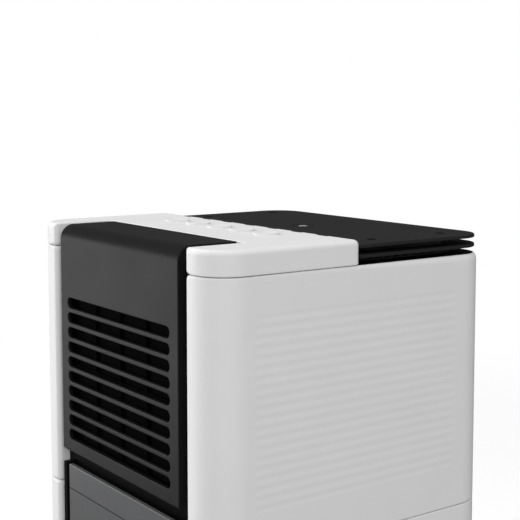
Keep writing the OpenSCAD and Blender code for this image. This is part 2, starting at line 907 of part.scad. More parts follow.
module compressor() {
    dome = 14;
    color(charcoal) difference() {
        union() {
            translate([compressor_x, compressor_y, compressor_z[0]]) rotate_extrude() {
                translate([0, dome]) square([compressor_r, compressor_z[1] - compressor_z[0] - 2 * dome]);
                square([compressor_r - dome, compressor_z[1] - compressor_z[0]]);
                for (z = [dome, compressor_z[1] - compressor_z[0] - dome])
                    translate([compressor_r - dome, z]) intersection() {
                        circle(dome);
                        translate([0, -dome]) square([dome, 2 * dome]);
                    }
            }
            translate([0, 0, compressor_foot_z]) linear_extrude(3) difference() {
                union() {
                    translate([compressor_x, compressor_y]) circle(40);
                    for (p = compressor_feet) translate(p) circle(7);
                }
                for (p = compressor_feet) translate(p) circle(4);
            }
            translate([compressor_x, compressor_y, compressor_foot_z + 3])
                cylinder(h = compressor_z[0] + 2 - compressor_foot_z - 3, r = 20);
        }
    }
}

module compressor_grommets() {
    z0 = foot_h + 12;
    color(rubber_grey) for (p = compressor_feet) translate([p[0], p[1], z0]) difference() {
        union() {
            cylinder(h = compressor_foot_z - z0, r = 6.6);
            cylinder(h = compressor_foot_z + 3 - z0, r = 4);
            translate([0, 0, compressor_foot_z + 3 - z0]) cylinder(h = 1.5, r = 5.4);
        }
        translate([0, 0, -cut]) cylinder(h = 40, r = compressor_bolt_r);
    }
}

module compressor_bolts() {
    z_head = compressor_foot_z + 4.5;
    color(zinc) for (p = compressor_feet) translate([p[0], p[1], foot_h + 4]) {
        cylinder(h = z_head - foot_h - 4, r = compressor_bolt_r);
        translate([0, 0, z_head - foot_h - 4]) cylinder(h = 3, r = 4.2, $fn = 6);
    }
}

module terminal_cover() {
    color(black) translate([compressor_x, compressor_y, 0]) rotate([0, 0, 180]) difference() {
        box([compressor_r - 8, -13, 96], [compressor_r + 12, 13, 132]);
        translate([0, 0, 90]) cylinder(h = 50, r = compressor_r + 0.1);
    }
}

accumulator_x = 100;
accumulator_y = compressor_y;

module accumulator() {
    r = 13;
    color(charcoal) {
        translate([accumulator_x, accumulator_y, 84]) cylinder(h = 70, r = r);
        translate([accumulator_x, accumulator_y, 84]) sphere(r);
        translate([accumulator_x, accumulator_y, 154]) sphere(r);
    }
    color(copper) pipe([[accumulator_x, accumulator_y, 75], [accumulator_x, accumulator_y, 60],
        [compressor_x + compressor_r - 0.2, compressor_y, 60]], 3.5);
}

module discharge_pipe() {
    y_end = condenser_y + coil_d / 2;
    color(copper) pipe([[compressor_x, compressor_y, compressor_z[1]], [compressor_x, compressor_y, 198],
        [98, 92, 198], [98, 92, 262], [100, y_end, 262], [100, y_end, tube_z(tube_rows - 1)],
        [tube_end_x, y_end, tube_z(tube_rows - 1)]], 3);
}

module suction_pipe() {
    y_end = evaporator_y + coil_d / 2;
    color(copper) pipe([[accumulator_x, accumulator_y, 167], [accumulator_x, accumulator_y, 222],
        [106, y_end, 222], [106, y_end, tube_z(tube_rows - 1)],
        [tube_end_x, y_end, tube_z(tube_rows - 1)]], 3.5);
}

module capillary_tube() {
    y0 = evaporator_y + coil_d / 2;
    y1 = condenser_y + coil_d / 2;
    z = tube_z(0);
    color(copper) pipe([[-tube_end_x, y0, z], [-88, y0, z + 2], [-93, (y0 + y1) / 2, z + 12],
        [-88, y1, z + 2], [-tube_end_x, y1, z]], 1.6);
}

// ---------------------------------------------------------------- electrics
module capacitor() {
    color(aluminium) translate([-30, 74, foot_h + pan_t]) cylinder(h = 62, r = 17);
    color(black) translate([-30, 74, foot_h + pan_t + 62]) cylinder(h = 5, r = 14);
}

module power_board() {
    x0 = -110;
    color(board_green) box([x0, -14, 236], [x0 + 1.6, 72, 346]);
    color(charcoal) {
        box([x0 + 1.6, 0, 250], [x0 + 20, 26, 282]);
        box([x0 + 1.6, 36, 250], [x0 + 16, 60, 274]);
        translate([x0 + 1.6, 14, 318]) rotate([0, 90, 0]) cylinder(h = 18, r = 9);
        translate([x0 + 1.6, 46, 318]) rotate([0, 90, 0]) cylinder(h = 14, r = 7);
    }
}

module power_inlet() {
    flange = 1.8;
    shroud_d = 18;
    pin_r = 1.15;
    pin_x = 4.3;
    color(black) difference() {
        box([inlet_x - inlet_w / 2 + gap, back_y - shroud_d, inlet_z - inlet_h / 2 + gap],
            [inlet_x + inlet_w / 2 - gap, back_y - 0.5, inlet_z + inlet_h / 2 - gap]);
        along_y(back_y - shroud_d + 3, back_y + cut) translate([inlet_x, inlet_z])
            round_rect([-8.6, -4.6], [8.6, 4.6], 4.59);
    }
    color(steel) for (side = [-1, 1])
        translate([inlet_x + side * pin_x, back_y - 5, inlet_z]) rotate([90, 0, 0])
            cylinder(h = shroud_d - 7.5, r = pin_r);
}

module humidity_sensor() {
    x0 = -87;
    color(board_green) box([x0, recess_y + frame_t, 296], [x0 + 9, recess_y + frame_t + 1.2, 316]);
    color(white) box([x0 + 1, recess_y + frame_t + 1.2, 298], [x0 + 8, recess_y + frame_t + 5, 308]);
}

base_pan();
rubber_feet();
lower_housing();
side_shell_left();
side_shell_right();
rear_cover();
front_frame();
tank_bay();
mid_shelf();
top_deck();
control_bar();
front_grille();
filter_frame();
filter_mesh();
outlet_core();
outlet_lower_plate();
outlet_top_plate();
outlet_screws();
status_lens();
button_1();
button_2();
button_3();
button_4();
button_5();
button_board();
push_switches();
tank_shell();
tank_front();
tank_lid();
float_pin();
float_arm();
drip_tray();
evaporator_fins();
evaporator_tube();
condenser_fins();
condenser_tube();
fan_inlet_plate();
fan_housing();
fan_wheel();
fan_shaft();
fan_motor();
motor_bracket();
motor_screws();
compressor();
compressor_grommets();
compressor_bolts();
terminal_cover();
accumulator();
discharge_pipe();
suction_pipe();
capillary_tube();
capacitor();
power_board();
power_inlet();
level_switch();
humidity_sensor();
rear_screws();
base_screws();
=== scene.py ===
"""Compact compressor dehumidifier: the visual model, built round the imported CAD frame."""
import json
import math

import bmesh
import bpy
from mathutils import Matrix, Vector
from mathutils.geometry import tessellate_polygon

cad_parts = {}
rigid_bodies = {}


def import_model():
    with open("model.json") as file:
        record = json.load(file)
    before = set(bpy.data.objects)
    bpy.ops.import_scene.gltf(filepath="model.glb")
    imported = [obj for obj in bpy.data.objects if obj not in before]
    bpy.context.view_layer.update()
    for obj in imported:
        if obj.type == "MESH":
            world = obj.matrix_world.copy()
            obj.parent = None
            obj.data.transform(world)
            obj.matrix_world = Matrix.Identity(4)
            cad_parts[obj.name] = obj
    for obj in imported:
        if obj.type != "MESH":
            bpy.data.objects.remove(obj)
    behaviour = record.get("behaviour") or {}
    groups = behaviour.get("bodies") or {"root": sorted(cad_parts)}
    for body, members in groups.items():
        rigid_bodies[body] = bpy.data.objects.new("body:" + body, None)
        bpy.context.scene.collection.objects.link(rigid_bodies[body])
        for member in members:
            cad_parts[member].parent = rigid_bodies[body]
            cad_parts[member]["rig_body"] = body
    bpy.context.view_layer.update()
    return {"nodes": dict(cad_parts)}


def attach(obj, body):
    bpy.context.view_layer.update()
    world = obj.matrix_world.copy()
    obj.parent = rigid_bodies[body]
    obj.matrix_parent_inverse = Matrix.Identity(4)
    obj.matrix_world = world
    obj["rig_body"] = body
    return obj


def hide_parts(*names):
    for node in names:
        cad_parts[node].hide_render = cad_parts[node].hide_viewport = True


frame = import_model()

MM = 0.001

# Levels and plan positions of the casing, in millimetres, as in the CAD source.
HALF_W, FRONT_Y, BACK_Y, CORNER_R = 120.0, -115.5, 115.5, 24.0
BAR_TOP, SEAM_Z, LOW_SEAM_Z, SEAM_GAP = 400.0, 383.7, 208.7, 0.4
HOUSING_Z, WALL, EDGE_R = 14.0, 2.5, 3.5
RECESS_X, RECESS_Y = 88.4, -106.8
BAR_BACK_Y, NOTCH_Y, BAR_END_R = -2.8, -70.5, 5.0
REAR_JOINT_X = 88.4


# ---------------------------------------------------------------- outlines
def rounded(corners, closed=True, step=6.0):
    """Outline through corners (x, y, radius), anticlockwise: a list of (point, normal into the material)."""
    points, count = [], len(corners)
    for i, (x, y, r) in enumerate(corners):
        p = Vector((x, y))
        if not closed and i in (0, count - 1):
            a, b = (p, Vector(corners[1][:2])) if i == 0 else (Vector(corners[-2][:2]), p)
            d = (b - a).normalized()
            points.append((p, Vector((-d.y, d.x))))
            continue
        back = (Vector(corners[i - 1][:2]) - p).normalized()
        ahead = (Vector(corners[(i + 1) % count][:2]) - p).normalized()
        between = back.angle(ahead)
        start = p + back * r / math.tan(between / 2)
        centre = p + (back + ahead).normalized() * r / math.sin(between / 2)
        side = 1 if (-back).x * ahead.y - (-back).y * ahead.x > 0 else -1
        steps = max(2, math.ceil(math.degrees(math.pi - between) / step))
        a0 = math.atan2(start.y - centre.y, start.x - centre.x)
        for k in range(steps + 1):
            a = a0 + side * (math.pi - between) * k / steps
            out = Vector((math.cos(a), math.sin(a)))
            points.append((centre + out * r, -out * side))
    return points


def hole(outline):
    """The same outline as a hole: its normals point into the material around it."""
    return [(p, -n) for p, n in outline]


def disc(x, y, r, count=40):
    """Round hole: points with normals into the material around it."""
    ring = []
    for k in range(count):
        out = Vector((math.cos(2 * math.pi * k / count), math.sin(2 * math.pi * k / count)))
        ring.append((Vector((x, y)) + out * r, out))
    return ring


def slot_outline(x, y, w, h):
    """Slot with round ends, its lower left corner at x, y."""
    r = h / 2 - 0.01
    return rounded([(x, y, r), (x + w, y, r), (x + w, y + h, r), (x, y + h, r)], step=15)


def insert_along(outline, axis, value, stops):
    """Adds points at these stops to the outline's straight part where this axis coordinate has this value.
    That part can't be the one that closes the outline."""
    along = 1 - axis
    for i, ((p, n), (q, _)) in enumerate(zip(outline, outline[1:])):
        if abs(p[axis] - value) < 1e-4 and abs(q[axis] - value) < 1e-4:
            inside = [s for s in stops if min(p[along], q[along]) < s < max(p[along], q[along])]
            inside.sort(reverse=q[along] < p[along])
            new = []
            for s in inside:
                point = Vector((value, s)) if axis == 0 else Vector((s, value))
                new.append((point, n.copy()))
            return outline[:i + 1] + new + outline[i + 1:]
    raise ValueError("the outline has no such straight part")


def quarter_turn(steps):
    """Angles from 0 to a right angle."""
    return [k * math.pi / 2 / steps for k in range(steps + 1)]


# Flat strip beside each rounding, which keeps its shading off the rest of the face.
FLAT_MARGIN = 0.5


def rim(top, bottom, r_top, r_bottom, steps=4):
    """Edge profile [(inset, depth)] between flat faces at depths top and bottom, both edges rounded."""
    rows, quarter = [], quarter_turn(steps)
    if r_top:
        rows.append((r_top + FLAT_MARGIN, top))
        rows += [(r_top * (1 - math.sin(a)), top + r_top * (1 - math.cos(a))) for a in quarter]
    else:
        rows.append((0, top))
    if r_bottom:
        rows += [(r_bottom * (1 - math.cos(a)), bottom - r_bottom * (1 - math.sin(a))) for a in quarter]
        rows.append((r_bottom + FLAT_MARGIN, bottom))
    else:
        rows.append((0, bottom))
    return rows


# ---------------------------------------------------------------- mesh makers
def bridge(rings):
    """Quads between each ring and the next."""
    faces = []
    for a, b in zip(rings, rings[1:]):
        for k in range(len(a)):
            j = (k + 1) % len(a)
            faces.append((a[k], a[j], b[j], b[k]))
    return faces


def flat_face(rings, flat):
    """Triangles over a flat face. rings[0] is its outline, the rest are holes; flat has the points' plan."""
    order = [i for ring in rings for i in ring]
    triangles = tessellate_polygon([[flat[i] for i in ring] for ring in rings])
    return [tuple(order[k] for k in t) for t in triangles]


def solid(loops, profiles, place):
    """Closed solid between two flat faces. loops[0] is the outline and the others are holes. profiles[i]
    gives loop i's rings as (inset, depth) from the front face to the back, and place maps (u, v, depth) to
    x, y, z."""
    verts, flat, faces, firsts, lasts = [], [], [], [], []
    for loop, profile in zip(loops, profiles):
        rings = []
        for inset, depth in profile:
            ring = []
            for p, n in loop:
                q = p + n * inset
                ring.append(len(verts))
                flat.append(Vector((q.x, q.y, 0)))
                verts.append(place(q.x, q.y, depth))
            rings.append(ring)
        faces += bridge(rings)
        firsts.append(rings[0])
        lasts.append(rings[-1])
    return verts, faces + flat_face(firsts, flat) + flat_face(lasts, flat)


def sweep(path, section):
    """Wall along a plan path: section(point) gives the closed cross-section as (inset, z) pairs."""
    verts, faces, rings = [], [], []
    for p, n in path:
        ring = []
        for inset, z in section(p):
            q = p + n * inset
            ring.append(len(verts))
            verts.append((q.x, q.y, z))
        rings.append(ring)
    for a, b in zip(rings, rings[1:]):
        for k in range(len(a)):
            j = (k + 1) % len(a)
            faces.append((a[k], b[k], b[j], a[j]))
    return verts, faces + [tuple(rings[0]), tuple(reversed(rings[-1]))]


def turned(profile, centre, count=64):
    """Solid of revolution about z from (radius, height) pairs, closed on its axis."""
    verts, faces, rings = [], [], []
    cx, cy, cz = centre
    for r, h in profile:
        ring = []
        for k in range(count if r > 0 else 1):
            a = 2 * math.pi * k / count
            ring.append(len(verts))
            verts.append((cx + r * math.cos(a), cy + r * math.sin(a), cz + h))
        rings.append(ring)
    for a, b in zip(rings, rings[1:]):
        for k in range(count):
            j = (k + 1) % count
            if len(a) == 1:
                faces.append((a[0], b[k], b[j]))
            elif len(b) == 1:
                faces.append((a[k], b[0], a[j]))
            else:
                faces.append((a[k], b[k], b[j], a[j]))
    return verts, faces


def ring_solid(profile, centre, count=64):
    """Closed ring of revolution about z from a closed loop of (radius, height) pairs."""
    verts, faces = [], []
    cx, cy, cz = centre
    for r, h in profile:
        for k in range(count):
            a = 2 * math.pi * k / count
            verts.append((cx + r * math.cos(a), cy + r * math.sin(a), cz + h))
    for i in range(len(profile)):
        a, b = i * count, (i + 1) % len(profile) * count
        for k in range(count):
            j = (k + 1) % count
            faces.append((a + k, b + k, b + j, a + j))
    return verts, faces


def cuboid(lo, hi):
    """Corners and faces of a box, for joining into larger meshes and for cutting."""
    verts = [(x, y, z) for z in (lo[2], hi[2]) for y in (lo[1], hi[1]) for x in (lo[0], hi[0])]
    return verts, [(0, 2, 3, 1), (4, 5, 7, 6), (0, 1, 5, 4), (2, 6, 7, 3), (0, 4, 6, 2), (1, 3, 7, 5)]


def joined(*parts):
    """One list of corners and faces from several."""
    verts, faces = [], []
    for v, f in parts:
        base = len(verts)
        verts += v
        faces += [tuple(i + base for i in face) for face in f]
    return verts, faces


def new_object(name, verts, faces):
    """Object from corners in millimetres, with its faces turned outwards."""
    mesh = bpy.data.meshes.new(name)
    mesh.from_pydata([Vector(v) * MM for v in verts], [], faces)
    bm = bmesh.new()
    bm.from_mesh(mesh)
    bmesh.ops.remove_doubles(bm, verts=bm.verts, dist=1e-7)
    bmesh.ops.recalc_face_normals(bm, faces=bm.faces)
    bm.to_mesh(mesh)
    bm.free()
    obj = bpy.data.objects.new(name, mesh)
    bpy.context.scene.collection.objects.link(obj)
    return obj


def carve(obj, verts, faces):
    """Cuts a solid out of an object and keeps the result as its mesh."""
    cutter = new_object(obj.name + "_cutter", verts, faces)
    mod = obj.modifiers.new("carve", "BOOLEAN")
    mod.operation, mod.solver, mod.object = "DIFFERENCE", "EXACT", cutter
    made = bpy.data.meshes.new_from_object(obj.evaluated_get(bpy.context.evaluated_depsgraph_get()))
    obj.modifiers.clear()
    obj.data = made
    bpy.data.objects.remove(cutter)


def finished(obj, node, material, slot=None, smooth=40.0, bevel=0.0):
    """Shading, bevel, material, and the bookkeeping that ties a piece to the CAD node that it stands for."""
    mesh = obj.data
    mesh.materials.clear()
    mesh.materials.append(MATERIALS[material])
    if bevel:
        mod = obj.modifiers.new("soft_edges", "BEVEL")
        mod.width, mod.segments, mod.limit_method = bevel * MM, 2, "ANGLE"
        mod.angle_limit, mod.use_clamp_overlap = math.radians(35), True
    mesh.shade_smooth()
    mesh.set_sharp_from_angle(angle=math.radians(smooth))
    normals = obj.modifiers.new("even_shading", "WEIGHTED_NORMAL")
    normals.keep_sharp, normals.weight = True, 80
    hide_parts(node)
    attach(obj, frame["nodes"][node]["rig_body"])
    slot or SLOT_OF[node]
    return obj


def repaint(obj, material, chosen):
    """Gives the faces that chosen(centre, normal) picks, both in millimetres, a second material."""
    obj.data.materials.append(MATERIALS[material])
    for face in obj.data.polygons:
        if chosen(face.center / MM, face.normal):
            face.material_index = len(obj.data.materials) - 1


def softened(node, material, width):
    """A copy of a CAD node with its faces joined up and its edges rounded, standing for the node."""
    mesh = frame["nodes"][node].data.copy()
    bm = bmesh.new()
    bm.from_mesh(mesh)
    bmesh.ops.remove_doubles(bm, verts=bm.verts, dist=2e-6)
    bmesh.ops.dissolve_limit(bm, angle_limit=math.radians(1.0), verts=bm.verts, edges=bm.edges, delimit=set())
    bmesh.ops.recalc_face_normals(bm, faces=bm.faces)
    bm.to_mesh(mesh)
    bm.free()
    obj = bpy.data.objects.new(node + "_finished", mesh)
    bpy.context.scene.collection.objects.link(obj)
    finished(obj, node, material, bevel=width)


# ---------------------------------------------------------------- materials
MATERIALS = {}


DRIFT_SIZE, ROUGHNESS_DRIFT = 38, 0.02


def surface(name, colour, roughness, grain, grain_size, mottle, streak=(1, 1, 1), edge_wear_and_highlight=0.0, **shader):
    """Procedural finish: fine moulded or brushed grain as bump, uneven roughness, colour drift, lighter
    edges.
    grain is the bump's height and grain_size its scale, both in millimetres, and streak stretches it. mottle
    is the drift of the colour and edge_wear_and_highlight the share of a lighter colour on convex edges,
    partly wear and partly painted highlight. The rest are the shader's own values."""
    mat = bpy.data.materials.new(name)
    mat.use_nodes = True
    tree = mat.node_tree
    tree.nodes.clear()
    make = tree.nodes.new
    link = tree.links.new
    out = make("ShaderNodeOutputMaterial")
    bsdf = make("ShaderNodeBsdfPrincipled")
    link(bsdf.outputs["BSDF"], out.inputs["Surface"])
    for key, value in shader.items():
        bsdf.inputs[key.replace("_", " ").title().replace("Ior", "IOR")].default_value = value
    where = make("ShaderNodeTexCoord")
    mapping = make("ShaderNodeMapping")
    mapping.inputs["Scale"].default_value = streak
    link(where.outputs["Object"], mapping.inputs["Vector"])

    def noise(size_mm, detail, rough):
        node = make("ShaderNodeTexNoise")
        node.inputs["Scale"].default_value = 1 / (size_mm * MM)
        node.inputs["Detail"].default_value = detail
        node.inputs["Roughness"].default_value = rough
        link(mapping.outputs["Vector"], node.inputs["Vector"])
        return node

    fine = noise(grain_size, 3, 0.6)
    broad = noise(DRIFT_SIZE, 4, 0.55)
    spread = make("ShaderNodeMapRange")
    spread.inputs["From Min"].default_value, spread.inputs["From Max"].default_value = 0.3, 0.7
    spread.inputs["To Min"].default_value = roughness - ROUGHNESS_DRIFT
    spread.inputs["To Max"].default_value = roughness + ROUGHNESS_DRIFT
    link(broad.outputs["Fac"], spread.inputs["Value"])
    link(spread.outputs["Result"], bsdf.inputs["Roughness"])

    ramp = make("ShaderNodeValToRGB")
    ramp.color_ramp.elements[0].position, ramp.color_ramp.elements[1].position = 0.3, 0.7
    low = [c * (1 - mottle) for c in colour]
    high = [min(1.0, c * (1 + mottle)) for c in colour]
    ramp.color_ramp.elements[0].color = (*low, 1)
    ramp.color_ramp.elements[1].color = (*high, 1)
    link(broad.outputs["Fac"], ramp.inputs["Fac"])
    base_colour = ramp.outputs["Color"]
    # Convex edges, found by pointiness, get a lighter colour: partly wear, partly painted highlight.
    if edge_wear_and_highlight:
        shape = make("ShaderNodeNewGeometry")
        edge = make("ShaderNodeMapRange")
        edge.inputs["From Min"].default_value, edge.inputs["From Max"].default_value = 0.53, 0.62
        edge.inputs["To Max"].default_value = edge_wear_and_highlight
        link(shape.outputs["Pointiness"], edge.inputs["Value"])
        mix = make("ShaderNodeMix")
        mix.data_type = "RGBA"
        mix.inputs["B"].default_value = (*[c + 0.35 * (1 - c) for c in colour], 1)
        link(edge.outputs["Result"], mix.inputs["Factor"])
        link(base_colour, mix.inputs["A"])
        base_colour = mix.outputs["Result"]
    link(base_colour, bsdf.inputs["Base Color"])
    bump = make("ShaderNodeBump")
    bump.inputs["Strength"].default_value = 1.0
    bump.inputs["Distance"].default_value = grain * MM
    link(fine.outputs["Fac"], bump.inputs["Height"])
    link(bump.outputs["Normal"], bsdf.inputs["Normal"])
    MATERIALS[name] = mat


surface("white_moulding", (0.80, 0.80, 0.80), 0.46, grain=0.012, grain_size=0.55, mottle=0.010)
surface("white_bar_moulding", (0.80, 0.80, 0.80), 0.42, grain=0.010, grain_size=0.5, mottle=0.008)
surface("white_button_moulding", (0.78, 0.78, 0.78), 0.38, grain=0.006, grain_size=0.5, mottle=0.010)
surface("black_satin", (0.0085, 0.0085, 0.009), 0.46, grain=0.015, grain_size=0.45, mottle=0.05)
# Its edges are painted lighter: wear and painted highlight.
surface("black_matt", (0.019, 0.019, 0.0195), 0.60, grain=0.02, grain_size=0.4, mottle=0.05, edge_wear_and_highlight=0.05,
        specular_ior_level=0.3)
# Blacker black: the trim's own colour, and painted shade on the front grille's sides and in the top plate's
# screw recesses.
surface("black_trim_and_painted_shade", (0.004, 0.004, 0.004), 0.70, grain=0.015, grain_size=0.5, mottle=0.05,
        specular_ior_level=0.2)
# Charcoal plastic; in the tank front's groove it is painted shade.
surface("charcoal_moulding_and_painted_shade", (0.045, 0.045, 0.048), 0.58, grain=0.02, grain_size=0.6, mottle=0.06)
surface("tank_gloss", (0.104, 0.106, 0.109), 0.24, grain=0.002, grain_size=1.2, mottle=0.02, coat_weight=0.5,
        coat_roughness=0.08)
surface("tank_clear_moulding", (0.50, 0.56, 0.60), 0.22, grain=0.006, grain_size=1.4, mottle=0.03,
        transmission_weight=0.75, ior=1.49)
surface("natural_moulding", (0.72, 0.71, 0.66), 0.45, grain=0.01, grain_size=0.7, mottle=0.03)
surface("rubber_grey", (0.03, 0.03, 0.03), 0.80, grain=0.04, grain_size=0.5, mottle=0.12)
surface("lens_clear", (0.80, 0.81, 0.82), 0.12, grain=0.002, grain_size=1.5, mottle=0.05,
        transmission_weight=0.35, coat_weight=0.6, coat_roughness=0.05)
surface("dark_screw_metal", (0.004, 0.004, 0.0042), 0.75, grain=0.006, grain_size=0.3, mottle=0.10,
        specular_ior_level=0.05)
surface("board_green", (0.03, 0.15, 0.07), 0.35, grain=0.01, grain_size=0.8, mottle=0.15)
surface("switch_black", (0.02, 0.02, 0.02), 0.45, grain=0.01, grain_size=0.4, mottle=0.10)
surface("fin_metal", (0.70, 0.71, 0.73), 0.34, grain=0.01, grain_size=0.8, mottle=0.06, streak=(1, 1, 0.15),
        metallic=1.0)
surface("copper_metal", (0.72, 0.36, 0.20), 0.32, grain=0.01, grain_size=0.6, mottle=0.14, metallic=1.0)
surface("steel_metal", (0.50, 0.51, 0.53), 0.30, grain=0.008, grain_size=0.4, mottle=0.08, streak=(0.2, 1, 1),
        metallic=1.0)
surface("zinc_metal", (0.60, 0.60, 0.58), 0.42, grain=0.01, grain_size=1.2, mottle=0.12, metallic=0.9)
surface("black_enamel_paint", (0.02, 0.02, 0.022), 0.28, grain=0.02, grain_size=1.6, mottle=0.08,
        coat_weight=0.4, coat_roughness=0.15)
surface("filter_black", (0.0018, 0.0018, 0.002), 0.85, grain=0.01, grain_size=0.5, mottle=0.05,
        specular_ior_level=0.05)
surface("net_nylon", (0.0035, 0.0035, 0.0037), 0.75, grain=0.02, grain_size=0.3, mottle=0.15,
        specular_ior_level=0.05)

# The record's material slots and the finish that each gets.
SLOT_FINISH = {
    "white_casing": "white_moulding", "white_bar": "white_bar_moulding",
    "white_button": "white_button_moulding", "black_grille": "black_satin", "black_plate": "black_matt",
    "black_trim": "black_trim_and_painted_shade", "charcoal_plastic": "charcoal_moulding_and_painted_shade", "tank_front": "tank_gloss",
    "tank_clear": "tank_clear_moulding", "natural_plastic": "natural_moulding", "rubber": "rubber_grey",
    "lens": "lens_clear", "dark_screw": "dark_screw_metal", "circuit_board": "board_green",
    "switch_plastic": "switch_black", "fin_aluminium": "fin_metal", "copper_tube": "copper_metal",
    "steel": "steel_metal", "zinc_plate": "zinc_metal", "zinc_screw": "zinc_metal",
    "black_enamel": "black_enamel_paint", "filter_net": "net_nylon",
}
SLOT_OF = {name: obj.data.materials[0].name for name, obj in frame["nodes"].items()}
for node_name, node_object in frame["nodes"].items():
    node_object.data.materials.clear()
    node_object.data.materials.append(MATERIALS[SLOT_FINISH[SLOT_OF[node_name]]])
    node_object.data.shade_smooth()
    node_object.data.set_sharp_from_angle(angle=math.radians(35))


# ---------------------------------------------------------------- white casing
def wall_rows(z0, z1, low, high, middle=(), r_in=0.3):
    """Closed cross-section of a wall from z0 to z1. low and high are the inset and height of the rounding on
    its lower and upper outer edges, and r_in rounds its inner ones. The middle rows (inset, z) are on the
    outer face."""
    quarter = quarter_turn(4)
    rows = [(low[0] * (1 - math.sin(a)), z0 + low[1] * (1 - math.cos(a))) for a in quarter]
    rows += list(middle)
    rows += [(high[0] * (1 - math.cos(a)), z1 - high[1] * (1 - math.sin(a))) for a in quarter]
    rows += [(WALL - r_in * (1 - math.sin(a)), z1 - r_in * (1 - math.cos(a))) for a in quarter]
    rows += [(WALL - r_in * (1 - math.cos(a)), z0 + r_in * (1 - math.sin(a))) for a in quarter]
    return rows


def smooth_step(value, start, end):
    """From 0 at start to 1 at end, with no kink at either."""
    share = max(0.0, min(1.0, (value - start) / (end - start)))
    return share * share * (3 - 2 * share)


def between(a, b, share):
    return tuple(v + (w - v) * share for v, w in zip(a, b))


# Inset and height of the rounding: where two mouldings meet, at the front recess, and on a free edge.
SEAM_ROUND, RECESS_ROUND, OPEN_ROUND = (1.0, 1.0), (2.1, 2.8), (2.5, 4.8)


def seam_edge(p):
    """Inset and height of the rounding where two mouldings meet, fuller beside the front recess."""
    share = smooth_step(abs(p.x), RECESS_X + 1, RECESS_X + 10) if p.y < FRONT_Y + 12 else 1.0
    return between(RECESS_ROUND, SEAM_ROUND, share)


def open_edge(p):
    """The same for the shells' top edges, fuller again where they are free, behind the control bar."""
    return between(seam_edge(p), OPEN_ROUND, smooth_step(p.y, BAR_BACK_Y, BAR_BACK_Y + 8))


RIBS, RIB_PITCH, RIB_H, RIB_D = 20, 6.2, 3.1, 0.16
RIB_TOP_Z, RIB_Y0, RIB_Y1 = SEAM_Z - 24.2, FRONT_Y + 30.3, FRONT_Y + 197.3
# A groove's edge: distance past the groove's own edge, and share of the full depth.
LIP = [(-1.2, 0.0), (-0.8, 0.07), (-0.4, 0.25), (0.0, 0.5), (0.4, 0.75), (0.8, 0.93), (1.2, 1.0)]


def groove_rows():
    """Heights across the rib field from the bottom up, each with its share of the groove's depth."""
    rows = []
    for i in reversed(range(RIBS)):
        top = RIB_TOP_Z - i * RIB_PITCH
        rows += [(top - RIB_H + d, share) for d, share in LIP]
        rows += [(top - d, share) for d, share in reversed(LIP)]
    return rows


RETURN_Y = RECESS_Y + WALL


def shell_path():
    """Plan of the right-hand shell from the end of its front return to the rear joint, seen from above."""
    corners = [(RECESS_X, RETURN_Y, 0), (RECESS_X, FRONT_Y, EDGE_R), (HALF_W, FRONT_Y, CORNER_R),
               (HALF_W, BACK_Y, CORNER_R), (REAR_JOINT_X, BACK_Y, 0)]
    path = rounded(corners, closed=False, step=4.0)
    stops = [RIB_Y0 + d for d, _ in LIP] + [RIB_Y1 - d for d, _ in LIP]
    return insert_along(path, 0, HALF_W, stops)


def mirrored(verts, faces):
    return [(-x, y, z) for x, y, z in verts], [tuple(reversed(f)) for f in faces]


def side_shell():
    rows = groove_rows()

    def share_at(y):
        near = min(y - RIB_Y0, RIB_Y1 - y)
        if near <= LIP[0][0]:
            return 0.0
        for (d0, s0), (d1, s1) in zip(LIP, LIP[1:]):
            if near <= d1 + 1e-6:
                return s0 + (s1 - s0) * (near - d0) / (d1 - d0)
        return 1.0

    def section(p):
        on_side = abs(p.x - HALF_W) < 1e-4
        share = share_at(p.y) if on_side else 0.0
        middle = [(RIB_D * min(s, share), z) for z, s in rows]
        return wall_rows(LOW_SEAM_Z + SEAM_GAP / 2, SEAM_Z - SEAM_GAP / 2, seam_edge(p), open_edge(p), middle)

    return sweep(shell_path(), section)


right_shell = side_shell()
finished(new_object("side_shell_right_moulded", *right_shell), "side_shell_right", "white_moulding")
finished(new_object("side_shell_left_moulded", *mirrored(*right_shell)), "side_shell_left", "white_moulding")


INLET_X, INLET_Z, INLET_W, INLET_H = -62, 52, 28, 20


def lower_housing():
    corners = [(RECESS_X, RETURN_Y, 0), (RECESS_X, FRONT_Y, EDGE_R), (HALF_W, FRONT_Y, CORNER_R),
               (HALF_W, BACK_Y, CORNER_R), (-HALF_W, BACK_Y, CORNER_R), (-HALF_W, FRONT_Y, CORNER_R),
               (-RECESS_X, FRONT_Y, EDGE_R), (-RECESS_X, RETURN_Y, 0)]
    path, low_round = rounded(corners, closed=False, step=4.0), (0.7, 0.7)
    obj = new_object("lower_housing_moulded", *sweep(
        path, lambda p: wall_rows(HOUSING_Z, LOW_SEAM_Z - SEAM_GAP / 2, low_round, seam_edge(p))))
    # The power inlet's opening, cut right through the back wall.
    x0, x1 = INLET_X - INLET_W / 2, INLET_X + INLET_W / 2
    z0, z1, r = INLET_Z - INLET_H / 2, INLET_Z + INLET_H / 2, 0.8
    opening = rounded([(x0, z0, r), (x1, z0, r), (x1, z1, r), (x0, z1, r)], step=30)
    carve(obj, *solid([opening], [[(0, 0), (0, 6)]], lambda u, v, d: (u, BACK_Y + 2 - d, v)))
    finished(obj, "lower_housing", "white_moulding")


lower_housing()


# ---------------------------------------------------------------- rear cover
REAR_SCREWS = [(x, z) for x in (-76, 76) for z in (LOW_SEAM_Z + 14, SEAM_Z - 16)]


